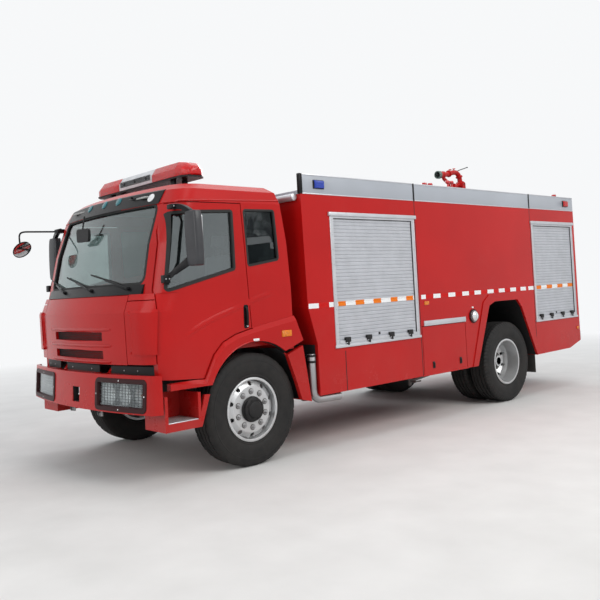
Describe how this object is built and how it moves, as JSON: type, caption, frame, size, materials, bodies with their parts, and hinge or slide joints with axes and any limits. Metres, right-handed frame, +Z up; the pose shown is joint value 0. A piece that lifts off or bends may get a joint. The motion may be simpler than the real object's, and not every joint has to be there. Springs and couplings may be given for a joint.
{
  "type": "foam fire truck",
  "caption": "Two-axle foam fire truck with tilting forward-control cab, roller-shutter lockers, a water and foam tank and a roof water monitor.",
  "frame": {"origin": "on the ground at the middle of the vehicle's width and length", "axes": "+X to the vehicle's left side, +Y to its rear, +Z up"},
  "size_m": [2.985, 7.581, 3.4033],
  "materials": {
    "red_paint": "gloss red vehicle enamel",
    "grey_paint": "light grey enamel",
    "aluminium": "satin anodised",
    "black_plastic": "fine grained",
    "chassis_black": "satin chassis enamel",
    "glass": "clear",
    "tyre": "worn rubber",
    "wheel_silver": "silver enamel",
    "steel": "machined",
    "chrome": "polished",
    "cast_iron": "oily castings",
    "red_lens": "moulded lens",
    "blue_lens": "moulded lens",
    "clear_lens": "ribbed",
    "seat_fabric": "woven",
    "rubber": "moulded",
    "white_tape": "reflective tape",
    "orange_tape": "reflective tape",
    "amber_lens": "moulded lens"
  },
  "bodies": {
    "chassis": {"ladder_frame": "chassis_black", "cross_members": "chassis_black", "engine_and_drive": "cast_iron", "front_axle": "cast_iron", "rear_axle": "cast_iron", "front_bumper": "red_paint", "headlamp_frames": "black_plastic", "headlamp_lenses": "clear_lens", "entry_steps": "red_paint", "front_mudguards": "red_paint", "side_pipe": "chrome", "front_locker": "red_paint", "tank_body": "red_paint", "rear_locker": "red_paint", "roof_band": "grey_paint", "shutter_frames": "aluminium", "shutter_curtains": "aluminium", "shutter_bars": "aluminium", "tank_inlets": "chrome", "blue_lamps": "blue_lens", "red_lamps": "red_lens", "rear_bumper": "aluminium", "tow_jaw": "chassis_black", "rear_ladder": "aluminium", "mudflaps": "rubber", "monitor_column": "red_paint"},
    "cab": {"cab_shell": "red_paint", "front_panel": "red_paint", "corner_panels": "red_paint", "cab_fenders": "red_paint", "cab_glass": "glass", "windscreen_trim": "black_plastic", "light_bar": "grey_paint", "light_bar_lenses": "red_lens", "seats": "seat_fabric", "dashboard": "black_plastic", "steering_wheel": "black_plastic"},
    "door_left": {"door_left": "red_paint", "door_left_glass": "glass", "mirror_left": "black_plastic"},
    "door_right": {"door_right": "red_paint", "door_right_glass": "glass", "mirror_right": "black_plastic"},
    "knuckle_left": {"knuckle_left": "cast_iron"},
    "knuckle_right": {"knuckle_right": "cast_iron"},
    "track_rod": {"track_rod": "steel"},
    "wheel_front_left": {"tyre_front_left": "tyre", "rim_front_left": "wheel_silver"},
    "wheel_front_right": {"tyre_front_right": "tyre", "rim_front_right": "wheel_silver"},
    "wheels_rear_left": {"tyres_rear_left": "tyre", "rims_rear_left": "wheel_silver"},
    "wheels_rear_right": {"tyres_rear_right": "tyre", "rims_rear_right": "wheel_silver"},
    "flap_left": {"flap_left": "red_paint"},
    "flap_right": {"flap_right": "red_paint"},
    "monitor_swivel": {"monitor_swivel": "red_paint"},
    "monitor_barrel": {"monitor_barrel": "red_paint"}
  },
  "joints": [
    {"name": "cab_tilt", "type": "hinge", "parent": "chassis", "child": "cab", "pos_m": [0, -3.6455, 0.9], "axis": [1, 0, 0], "range_deg": [0, 45]},
    {"name": "door_left_hinge", "type": "hinge", "parent": "cab", "child": "door_left", "pos_m": [1.165, -3.4955, 1.7], "axis": [0, 0, -1], "range_deg": [0, 70]},
    {"name": "door_right_hinge", "type": "hinge", "parent": "cab", "child": "door_right", "pos_m": [-1.165, -3.4955, 1.7], "axis": [0, 0, 1], "range_deg": [0, 70]},
    {"name": "steer_left", "type": "hinge", "parent": "chassis", "child": "knuckle_left", "pos_m": [0.88, -2.5455, 0.527], "axis": [0, 0, 1], "range_deg": [-35, 35]},
    {"name": "steer_right", "type": "hinge", "parent": "chassis", "child": "knuckle_right", "pos_m": [-0.88, -2.5455, 0.527], "axis": [0, 0, 1], "range_deg": [-35, 35]},
    {"name": "track_rod_pivot", "type": "hinge", "parent": "knuckle_left", "child": "track_rod", "pos_m": [0.88, -2.3155, 0.428], "axis": [0, 0, 1], "range_deg": [-35, 35]},
    {"name": "spin_front_left", "type": "hinge", "parent": "knuckle_left", "child": "wheel_front_left", "pos_m": [1.045, -2.5455, 0.527], "axis": [1, 0, 0], "continuous": true},
    {"name": "spin_front_right", "type": "hinge", "parent": "knuckle_right", "child": "wheel_front_right", "pos_m": [-1.045, -2.5455, 0.527], "axis": [1, 0, 0], "continuous": true},
    {"name": "spin_rear_left", "type": "hinge", "parent": "chassis", "child": "wheels_rear_left", "pos_m": [0.913, 1.7545, 0.527], "axis": [1, 0, 0], "continuous": true},
    {"name": "spin_rear_right", "type": "hinge", "parent": "chassis", "child": "wheels_rear_right", "pos_m": [-0.913, 1.7545, 0.527], "axis": [1, 0, 0], "continuous": true},
    {"name": "flap_left_hinge", "type": "hinge", "parent": "chassis", "child": "flap_left", "pos_m": [1.25, 0.3545, 0.553], "axis": [0, 1, 0], "range_deg": [0, 90]},
    {"name": "flap_right_hinge", "type": "hinge", "parent": "chassis", "child": "flap_right", "pos_m": [-1.25, 0.3545, 0.553], "axis": [0, -1, 0], "range_deg": [0, 90]},
    {"name": "monitor_yaw", "type": "hinge", "parent": "chassis", "child": "monitor_swivel", "pos_m": [0, 2.5845, 2.965], "axis": [0, 0, 1], "range_deg": [-170, 170]},
    {"name": "monitor_pitch", "type": "hinge", "parent": "monitor_swivel", "child": "monitor_barrel", "pos_m": [0, 2.6295, 3.105], "axis": [-1, 0, 0], "range_deg": [-15, 70]}
  ],
  "couplings": [
    {"joint": "steer_right", "follows": "steer_left", "ratio": 1},
    {"joint": "track_rod_pivot", "follows": "steer_left", "ratio": -1}
  ]
}
